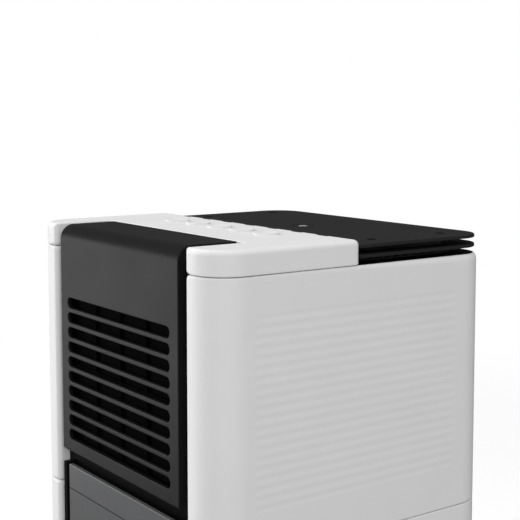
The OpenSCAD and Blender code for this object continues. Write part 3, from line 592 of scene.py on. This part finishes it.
def rear_cover():
    half_w, z0, z1 = REAR_JOINT_X - 0.3, LOW_SEAM_Z + SEAM_GAP / 2, SEAM_Z - SEAM_GAP / 2
    vent_x, vent_z, vent_w, vent_h, pitch, rows = 36, LOW_SEAM_Z + 34, 66, 4, 9, 13
    recess_r, recess_d, bore_inset = 4.2, 2.2, -2.3
    loops = [rounded([(-half_w, z0, 1.0), (half_w, z0, 1.0), (half_w, z1, 1.0), (-half_w, z1, 1.0)], step=30)]
    profiles = [rim(0, WALL, 0.7, 0.3)]
    for side in (-1, 1):
        for i in range(rows):
            loops.append(hole(slot_outline(side * vent_x - vent_w / 2, vent_z + i * pitch, vent_w, vent_h)))
            profiles.append(rim(0, WALL, 0.5, 0.3, 3))
    for x, z in REAR_SCREWS:
        loops.append(disc(x, z, recess_r))
        profiles.append(rim(0, recess_d, 0.4, 0, 3) + [(bore_inset, recess_d), (bore_inset, WALL)])
    return solid(loops, profiles, lambda u, v, d: (u, BACK_Y - d, v))


finished(new_object("rear_cover_moulded", *rear_cover()), "rear_cover", "white_moulding")


# ---------------------------------------------------------------- control bar and buttons
BUTTONS, PITCH, BUTTON_Y, BUTTON_R = 5, 28.0, FRONT_Y + 84, 9.0
BAR_Z, BAR_WALL, BAR_FILLET = SEAM_Z + SEAM_GAP / 2, 2.4, 3.5
DENTS, DENT_W, DENT_L, DENT_H = 7, 14.0, 5.0, 1.4


def spaced(count):
    """Places across the bar, a pitch apart and centred."""
    return [(i - (count - 1) / 2) * PITCH for i in range(count)]


def control_bar():
    tip_r, notch_edge_r = 3.4, 0.8
    outline = rounded([
        (-HALF_W, FRONT_Y, CORNER_R), (-RECESS_X, FRONT_Y, tip_r), (-RECESS_X, NOTCH_Y, 1.0),
        (RECESS_X, NOTCH_Y, 1.0), (RECESS_X, FRONT_Y, tip_r), (HALF_W, FRONT_Y, CORNER_R),
        (HALF_W, BAR_BACK_Y, BAR_END_R), (-HALF_W, BAR_BACK_Y, BAR_END_R)], step=5.0)
    # Two points at each end of a dent, one outside it and one inside.
    stops = [x + side * DENT_W / 2 + step
             for x in spaced(DENTS) for side in (-1, 1) for step in (-0.05, 0.05)]
    outline = insert_along(outline, 1, BAR_BACK_Y, stops)

    def in_dent(p):
        return abs(p.y - BAR_BACK_Y) < 1e-4 and min(abs(p.x - x) for x in spaced(DENTS)) < DENT_W / 2

    def radius(p):
        """Rounding of the top edge: small in the notch, full outside, growing round the two front tips."""
        if p.y < FRONT_Y + tip_r and abs(p.x) < RECESS_X + tip_r:
            share = (abs(p.x) - RECESS_X) / tip_r
            return notch_edge_r + (BAR_FILLET - notch_edge_r) * max(0.0, min(1.0, share))
        in_notch = abs(p.x) < RECESS_X + 0.02 and p.y < NOTCH_Y + 0.02
        return notch_edge_r if in_notch else BAR_FILLET

    verts, flat, rings = [], [], []

    def add_ring(inset_of, z_of):
        ring = []
        for p, n in outline:
            q = p + n * inset_of(p)
            ring.append(len(verts))
            flat.append(Vector((q.x, q.y, 0)))
            verts.append((q.x, q.y, z_of(p)))
        rings.append(ring)

    add_ring(lambda p: BAR_WALL, lambda p: BAR_TOP - BAR_WALL)
    add_ring(lambda p: BAR_WALL, lambda p: BAR_Z)
    for a in quarter_turn(4):
        add_ring(lambda p: seam_edge(p)[0] * (1 - math.sin(a)),
                 lambda p: BAR_Z + seam_edge(p)[1] * (1 - math.cos(a)))
    add_ring(lambda p: 0.0, lambda p: BAR_TOP - BAR_FILLET)

    def below_dents(p, share):
        """Inset and height on the edge, from the start of the rounding (0) to the dents' floor (1)."""
        r = radius(p)
        if r <= DENT_H:
            return 0.0, BAR_TOP - BAR_FILLET + (BAR_FILLET - DENT_H) * share
        a = math.asin(1 - DENT_H / r) * share
        return r * (1 - math.cos(a)), BAR_TOP - r * (1 - math.sin(a))

    def above_dents(p, share):
        """Inset and height on the edge, from the dents' floor (0) to the top face (1)."""
        r = radius(p)
        start = math.asin(1 - DENT_H / r) if r > DENT_H else 0.0
        a = start + (math.pi / 2 - start) * share
        inset = r * (1 - math.cos(a))
        if in_dent(p):
            inset = DENT_L + 0.5 * max(0.0, 4 * share - 3) ** 2
        return inset, BAR_TOP - r * (1 - math.sin(a))

    for share in (0.34, 0.67, 1.0):
        add_ring(lambda p: below_dents(p, share)[0], lambda p: below_dents(p, share)[1])
    add_ring(lambda p: DENT_L if in_dent(p) else below_dents(p, 1.0)[0], lambda p: BAR_TOP - DENT_H)
    for share in [k / 8 for k in range(1, 9)]:
        add_ring(lambda p: above_dents(p, share)[0], lambda p: above_dents(p, share)[1])
    faces = bridge(rings)
    # Button holes join the top face to the underside.
    top_loops, under_loops = [rings[-1]], [rings[0]]
    for x in spaced(BUTTONS):
        hole_rings = []
        for inset, z in [(0.5, BAR_TOP), (0.2, BAR_TOP - 0.1), (0.04, BAR_TOP - 0.3), (0, BAR_TOP - 0.6),
                         (0, BAR_TOP - BAR_WALL)]:
            ring = []
            for p, n in disc(x, BUTTON_Y, BUTTON_R + 0.3, 64):
                q = p + n * inset
                ring.append(len(verts))
                flat.append(Vector((q.x, q.y, 0)))
                verts.append((q.x, q.y, z))
            hole_rings.append(ring)
        faces += bridge(hole_rings)
        top_loops.append(hole_rings[0])
        under_loops.append(hole_rings[-1])
    return verts, faces + flat_face(top_loops, flat) + flat_face(under_loops, flat)


finished(new_object("control_bar_moulded", *control_bar()), "control_bar", "white_bar_moulding")


def button(x):
    """Cap with a rounded rim and a shallow dish, over its flange and stem."""
    cap_top, flange_top, flange_t, flange_r, stem_r = BAR_TOP + 1.1, BAR_TOP - BAR_WALL - 0.4, 1.6, 10.8, 2.0
    dish_r, dish, rim_r, soft = 40.0, 0.8, 0.3, 0.2
    board_z, board_t, switch_h, travel = BAR_Z + 2.2, 1.6, 3.2, 1.2
    stem_z = board_z + board_t + switch_h + travel + 0.2
    dish_edge = math.sqrt(dish_r ** 2 - (dish_r - dish) ** 2)
    profile = [(0, stem_z), (stem_r - soft, stem_z), (stem_r, stem_z + soft), (stem_r, flange_top - flange_t),
               (flange_r - soft, flange_top - flange_t), (flange_r, flange_top - flange_t + soft),
               (flange_r, flange_top - soft), (flange_r - soft, flange_top), (BUTTON_R, flange_top)]
    profile += [(BUTTON_R - rim_r + rim_r * math.cos(a), cap_top - rim_r + rim_r * math.sin(a))
                for a in quarter_turn(5)]
    profile.append((dish_edge - 0.4, cap_top - 0.1))
    profile += [(r, cap_top - dish + dish_r - math.sqrt(dish_r ** 2 - r ** 2))
                for r in (7.0, 6.0, 4.5, 3.0, 1.5, 0)]
    return turned(profile, (x, BUTTON_Y, 0))


for number, across in enumerate(spaced(BUTTONS), 1):
    finished(new_object(f"button_{number}_cap", *button(across)), f"button_{number}", "white_button_moulding")


# ---------------------------------------------------------------- front grille
GRILLE_HALF_W, GRILLE_Z, BEND_R, GRILLE_BACK_Y = 80.5, SEAM_Z - 147.5, 10.0, FRONT_Y + 44
SLOTS, SLOT_W, SLOT_H, SLOT_PITCH, SLOT_TOP_Z = 10, 140.0, 7.2, 10.63, SEAM_Z - 35.2
SKIN, RIM_W, SIDE_RIM_D, LOW_RIM_D, BACK_LIP = 2.5, 2.0, 6.5, 4.0, 3.0
BEND_V = BAR_TOP - BEND_R - GRILLE_Z
BEND_L = BEND_R * math.pi / 2
PANEL_L = BEND_V + BEND_L + (GRILLE_BACK_Y - FRONT_Y - BEND_R)


def fold(u, v, d):
    """Maps the flat panel (across, along, depth) onto the folded one."""
    if v <= BEND_V:
        return u, FRONT_Y + d, GRILLE_Z + v
    if v >= BEND_V + BEND_L:
        return u, FRONT_Y + BEND_R + v - BEND_V - BEND_L, BAR_TOP - d
    a = (v - BEND_V) / BEND_R
    r = BEND_R - d
    return u, FRONT_Y + BEND_R - r * math.cos(a), BAR_TOP - BEND_R + r * math.sin(a)


def front_grille():
    """The panel, laid out flat with u across and v from its lower edge to its back one, then folded."""
    low_r, back_r, edge_r, steps = 1.2, 1.0, 0.7, 12
    outline = rounded([(GRILLE_HALF_W, 0, low_r), (GRILLE_HALF_W, PANEL_L, back_r),
                       (-GRILLE_HALF_W, PANEL_L, back_r), (-GRILLE_HALF_W, 0, low_r)], step=15)
    bend = [BEND_V + BEND_L * k / steps for k in range(steps + 1)]
    for side in (-1, 1):
        outline = insert_along(outline, 0, side * GRILLE_HALF_W,
                               [RIM_W, RIM_W + 0.1] + bend + [PANEL_L - BACK_LIP])

    def depth_at(p):
        """How far the rim reaches back: less along the lower edge, and no more than the skin at the back."""
        if p.y > PANEL_L - BACK_LIP + 0.1:
            return SKIN + 0.1
        return SIDE_RIM_D if p.y > RIM_W + 0.05 else LOW_RIM_D

    verts, flat, faces = [], [], []

    def ring_of(loop, inset, depth):
        ring = []
        for p, n in loop:
            q = p + n * inset
            ring.append(len(verts))
            flat.append(Vector((q.x, q.y, 0)))
            verts.append((q.x, q.y, depth(p) if callable(depth) else depth))
        return ring

    outer = [ring_of(outline, edge_r + FLAT_MARGIN, 0)]
    for a in quarter_turn(4):
        outer.append(ring_of(outline, edge_r * (1 - math.sin(a)), edge_r * (1 - math.cos(a))))
    outer.append(ring_of(outline, 0, lambda p: depth_at(p) - 0.3))
    outer.append(ring_of(outline, 0.3, depth_at))
    outer.append(ring_of(outline, RIM_W, depth_at))
    outer.append(ring_of(outline, RIM_W, SKIN))
    faces += bridge(outer)
    front_rings, back_rings = [outer[0]], [outer[-1]]
    for i in range(SLOTS):
        v = SLOT_TOP_Z - i * SLOT_PITCH - SLOT_H - GRILLE_Z
        loop = hole(slot_outline(-SLOT_W / 2, v, SLOT_W, SLOT_H))
        rings = [ring_of(loop, inset, depth) for inset, depth in rim(0, SKIN, 0.6, 0.3, 3)]
        faces += bridge(rings)
        front_rings.append(rings[0])
        back_rings.append(rings[-1])
    faces += flat_face(front_rings, flat) + flat_face(back_rings, flat)
    # Cut lines across the flat faces, so that they can bend, then the fold itself.
    bm = bmesh.new()
    made = [bm.verts.new(v) for v in verts]
    for f in faces:
        bm.faces.new([made[i] for i in f])
    for v in [bend[0] - 2 * FLAT_MARGIN] + bend + [bend[-1] + 2 * FLAT_MARGIN]:
        geometry = bm.verts[:] + bm.edges[:] + bm.faces[:]
        bmesh.ops.bisect_plane(bm, geom=geometry, dist=1e-5, plane_co=(0, v, 0), plane_no=(0, 1, 0))
    bm.verts.index_update()
    out_verts = [fold(*v.co) for v in bm.verts]
    out_faces = [tuple(v.index for v in f.verts) for f in bm.faces]
    bm.free()
    return out_verts, out_faces


grille = finished(new_object("front_grille_moulded", *front_grille()), "front_grille", "black_satin",
                  smooth=32)
# Its sides get the blacker black as painted shade, for the dark of the recess.
repaint(grille, "black_trim_and_painted_shade", lambda c, n: abs(n.x) > 0.85 and abs(c.x) > GRILLE_HALF_W - RIM_W - 0.5)


# ---------------------------------------------------------------- filter
def filter_net():
    """Woven net: two layers of fine threads across each other, inside the filter frame."""
    half_x, y, z0, z1 = 69.5, FRONT_Y + SKIN + 3.0, GRILLE_Z + 10, SLOT_TOP_Z + 4
    pitch, t = 0.85, 0.25       # t is half a thread's width and all its thickness
    parts = []
    for k in range(int(2 * half_x / pitch) + 1):
        x = -half_x + t + k * pitch
        parts.append(cuboid((x - t, y, z0), (x + t, y + t, z1)))
    for k in range(int((z1 - z0) / pitch) + 1):
        z = z0 + t + k * pitch
        parts.append(cuboid((-half_x, y + t, z - t), (half_x, y + 2 * t, z + t)))
    return joined(*parts)


finished(new_object("filter_net_woven", *filter_net()), "filter_mesh", "net_nylon")
softened("filter_frame", "filter_black", 0.3)


# ---------------------------------------------------------------- top outlet
PLATE_T, GAP_UNDER = 2.4, 4.1
DECK_TOP_Z = SEAM_Z - 0.2
LOWER_PLATE_Z = DECK_TOP_Z + GAP_UNDER + 0.2
TOP_PLATE_Z = LOWER_PLATE_Z + PLATE_T + GAP_UNDER
OUTLET_FRONT_Y, OUTLET_INSET = BAR_BACK_Y + 0.6, 1.5
OUTLET_SCREWS = [(x, y) for x in (-98.5, 98.5) for y in (24, 87.5)]
LENS_Y, LENS_R = 43.0, 7.0


def outlet_outline():
    x, y, r = HALF_W - OUTLET_INSET, BACK_Y - OUTLET_INSET, CORNER_R - OUTLET_INSET
    return rounded([(-x, OUTLET_FRONT_Y, 0.8), (x, OUTLET_FRONT_Y, 0.8), (x, y, r), (-x, y, r)], step=4)


def outlet_plates():
    def place(z_top):
        return lambda u, v, d: (u, v, z_top - d)

    core_x, core_y0, core_y1, core_r = 104.0, 8.0, 99.5, 14.0
    recess_r, recess_d, bore_inset = 3.4, 1.2, -1.7
    core = hole(rounded([(-core_x, core_y0, core_r), (core_x, core_y0, core_r), (core_x, core_y1, core_r),
                         (-core_x, core_y1, core_r)], step=8))
    lower = solid([outlet_outline(), core], [rim(0, PLATE_T, 0.7, 0.5), rim(0, PLATE_T, 0.3, 0.3)],
                  place(LOWER_PLATE_Z + PLATE_T))
    finished(new_object("outlet_lower_plate_moulded", *lower), "outlet_lower_plate", "black_matt")
    loops, profiles = [outlet_outline()], [rim(0, PLATE_T, 0.8, 0.5)]
    for x, y in OUTLET_SCREWS:
        loops.append(disc(x, y, recess_r))
        profiles.append(rim(0, recess_d, 0.3, 0, 3) + [(bore_inset, recess_d), (bore_inset, PLATE_T)])
    loops.append(disc(0, LENS_Y, LENS_R + 1.2, 64))
    profiles.append(rim(0, PLATE_T, 0.3, 0.2, 3))
    upper = solid(loops, profiles, place(TOP_PLATE_Z + PLATE_T))
    top = finished(new_object("outlet_top_plate_moulded", *upper), "outlet_top_plate", "black_matt")
    # The screw recesses' walls get the blacker black: painted shade in the recesses.
    repaint(top, "black_trim_and_painted_shade", lambda c, n: n.z < 0.9 and c.z < TOP_PLATE_Z + PLATE_T - 0.05 and any(
        math.hypot(c.x - x, c.y - y) < recess_r + 0.2 for x, y in OUTLET_SCREWS))


outlet_plates()


def status_light():
    """Domed lens in a dark bezel that stands in the top plate's hole, on a flange under the plate."""
    flange_r, flange_t, lens_r, dome_h = LENS_R + 2.5, 1.2, 4.0, 0.8
    z, top = TOP_PLATE_Z - flange_t, flange_t + PLATE_T
    bezel = [(lens_r + 0.1, 0), (flange_r - 0.2, 0), (flange_r, 0.2), (flange_r, flange_t - 0.2),
             (flange_r - 0.2, flange_t), (LENS_R, flange_t), (LENS_R, top - 0.4), (LENS_R - 0.3, top - 0.1),
             (LENS_R - 0.8, top), (lens_r + 1.0, top - 0.2), (lens_r + 0.1, top - 0.9)]
    finished(new_object("status_bezel_moulded", *ring_solid(bezel, (0, LENS_Y, z))), "status_lens",
             "black_matt", slot="black_plate")
    lens = [(0, 0), (lens_r, 0)]
    lens += [(lens_r * math.cos(a), top - dome_h + dome_h * math.sin(a)) for a in quarter_turn(6)[:-1]]
    lens.append((0, top))
    finished(new_object("status_lens_moulded", *turned(lens, (0, LENS_Y, z))), "status_lens", "lens_clear")


status_light()
softened("outlet_core", "black_matt", 0.25)
softened("outlet_screws", "dark_screw_metal", 0.15)
softened("top_deck", "black_trim_and_painted_shade", 0.3)


# ---------------------------------------------------------------- water tank
def tank_front():
    half_w, z0, z1, t, corner_r = 71.6, 22.0, SEAM_Z - 157.5, 3.2, 1.2
    outline = rounded([(-half_w, z0, corner_r), (half_w, z0, corner_r), (half_w, z1, corner_r),
                       (-half_w, z1, corner_r)], step=15)
    made = solid([outline], [rim(0, t, 0.5, 0.3, 5)], lambda u, v, d: (u, FRONT_Y + d, v))
    obj = new_object("tank_front_moulded", *made)
    # The thin line across it, level with the casing's lower seam.
    line_h, line_d = 0.8, 0.6
    carve(obj, *cuboid((-half_w - 1, FRONT_Y - 1, LOW_SEAM_Z - line_h / 2),
                       (half_w + 1, FRONT_Y + line_d, LOW_SEAM_Z + line_h / 2)))
    finished(obj, "tank_front", "tank_gloss")
    # The groove's faces get the charcoal colour: painted shade, standing for the dark of a deep gap.
    repaint(obj, "charcoal_moulding_and_painted_shade",
            lambda c, n: abs(c.z - LOW_SEAM_Z) < line_h and 0.1 < c.y - FRONT_Y < line_d + 0.1)


tank_front()
softened("tank_shell", "tank_clear_moulding", 0.5)
softened("tank_lid", "natural_moulding", 0.4)
softened("float_arm", "natural_moulding", 0.4)
softened("front_frame", "black_trim_and_painted_shade", 0.3)
softened("tank_bay", "charcoal_moulding_and_painted_shade", 0.4)
softened("base_pan", "charcoal_moulding_and_painted_shade", 0.5)


FOOT_X, FOOT_Y = 88, 84


def foot(x, y):
    """Round foot: a recess in its sole, a rounded outer edge and a soft upper one."""
    profile = [(0, 1.5), (8.6, 1.5), (9.0, 1.2), (9.0, 0.3), (9.3, 0), (11.8, 0), (12.6, 0.35), (13.0, 1.2),
               (13.0, 5.4), (12.7, 6.0), (0, 6.0)]
    return turned(profile, (x, y, 0))


feet = joined(*[foot(x, y) for x in (-FOOT_X, FOOT_X) for y in (-FOOT_Y, FOOT_Y)])
finished(new_object("rubber_feet_moulded", *feet), "rubber_feet", "rubber_grey")
softened("power_inlet", "black_matt", 0.3)
softened("rear_screws", "zinc_metal", 0.15)
softened("base_screws", "zinc_metal", 0.15)


# ---------------------------------------------------------------- studio
def studio_floor():
    """Pale floor that fades into the white backdrop, from fade_start to fade_end metres from the object."""
    fade_start, fade_end, floor_z = 0.35, 1.6, -0.2
    floor = new_object("studio_floor", *turned([(0, 0), (600, 0), (1200, 0), (2400, 0), (9000, 0)],
                                               (0, 0, floor_z)))
    mat = bpy.data.materials.new("studio_floor")
    mat.use_nodes = True
    tree = mat.node_tree
    tree.nodes.clear()
    make, link = tree.nodes.new, tree.links.new
    out, mix = make("ShaderNodeOutputMaterial"), make("ShaderNodeMixShader")
    pale, glow = make("ShaderNodeBsdfDiffuse"), make("ShaderNodeEmission")
    pale.inputs["Color"].default_value = (0.93, 0.93, 0.93, 1)
    glow.inputs["Color"].default_value = (1, 1, 1, 1)
    glow.inputs["Strength"].default_value = 1.0
    where, length, fade = make("ShaderNodeTexCoord"), make("ShaderNodeVectorMath"), make("ShaderNodeMapRange")
    length.operation = "LENGTH"
    fade.interpolation_type = "SMOOTHSTEP"
    fade.inputs["From Min"].default_value, fade.inputs["From Max"].default_value = fade_start, fade_end
    link(where.outputs["Object"], length.inputs[0])
    link(length.outputs["Value"], fade.inputs["Value"])
    link(fade.outputs["Result"], mix.inputs["Fac"])
    link(pale.outputs["BSDF"], mix.inputs[1])
    link(glow.outputs["Emission"], mix.inputs[2])
    link(mix.outputs["Shader"], out.inputs["Surface"])
    floor.data.materials.append(mat)
    floor.visible_diffuse = False
    floor.visible_glossy = False


def softbox(name, at, aim, size, power, glossy, diffuse):
    """Square light of this size in metres and power in watts. glossy and diffuse say which rays see it."""
    light = bpy.data.lights.new(name, "AREA")
    light.shape, light.size, light.energy = "SQUARE", size, power
    obj = bpy.data.objects.new(name, light)
    bpy.context.scene.collection.objects.link(obj)
    obj.location = at
    obj.rotation_euler = (Vector(aim) - Vector(at)).to_track_quat("-Z", "Y").to_euler()
    obj.visible_glossy, obj.visible_diffuse = glossy, diffuse


def studio_world(ambient, mirrored_sky):
    """White backdrop for the camera, a dimmer sky as light on the object and a darker one in its gloss."""
    world = bpy.data.worlds.new("studio")
    world.use_nodes = True
    tree = world.node_tree
    tree.nodes.clear()
    make, link = tree.nodes.new, tree.links.new
    path, out = make("ShaderNodeLightPath"), make("ShaderNodeOutputWorld")
    skies = []
    for strength in (ambient, mirrored_sky, 1.0):
        sky = make("ShaderNodeBackground")
        sky.inputs["Color"].default_value = (1, 1, 1, 1)
        sky.inputs["Strength"].default_value = strength
        skies.append(sky.outputs["Background"])
    result = skies[0]
    for ray, sky in (("Is Glossy Ray", skies[1]), ("Is Camera Ray", skies[2])):
        mix = make("ShaderNodeMixShader")
        link(path.outputs[ray], mix.inputs["Fac"])
        link(result, mix.inputs[1])
        link(sky, mix.inputs[2])
        result = mix.outputs["Shader"]
    link(result, out.inputs["Surface"])
    bpy.context.scene.world = world


studio_floor()
studio_world(0.42, 0.12)
CENTRE, GRILLE_TOP = (0, 0, 0.25), (0, -0.1, 0.3)
softbox("key_light", (-1.95, -1.15, 0.9), CENTRE, 1.4, 54, glossy=False, diffuse=True)
softbox("fill_light", (1.8, -1.25, 1.2), CENTRE, 1.5, 22, glossy=False, diffuse=True)
softbox("top_light", (-0.2, 0.1, 2.4), CENTRE, 1.8, 22, glossy=False, diffuse=True)
softbox("sheen_light", (-1.95, -1.37, 0.15), GRILLE_TOP, 1.1, 6, glossy=True, diffuse=False)

# A little tilt and a small shift, in place of the photo's level camera and large shift.
CAMERA_TILT, CAMERA_TURN, CAMERA_LENS = 0.0858, 0.9486, 79.07
camera_data = bpy.data.cameras.new("camera")
camera = bpy.data.objects.new("camera", camera_data)
bpy.context.scene.collection.objects.link(camera)
camera.location = (0.6681, -0.4754, 0.4823)
camera.rotation_euler = (math.radians(90) - CAMERA_TILT, 0, CAMERA_TURN)
camera_data.sensor_width, camera_data.lens = 36.0, CAMERA_LENS
camera_data.shift_x, camera_data.shift_y = 0.0, -0.10
bpy.context.scene.camera = camera
bpy.context.scene.view_settings.view_transform = "Standard"
bpy.context.scene.view_settings.look = "None"
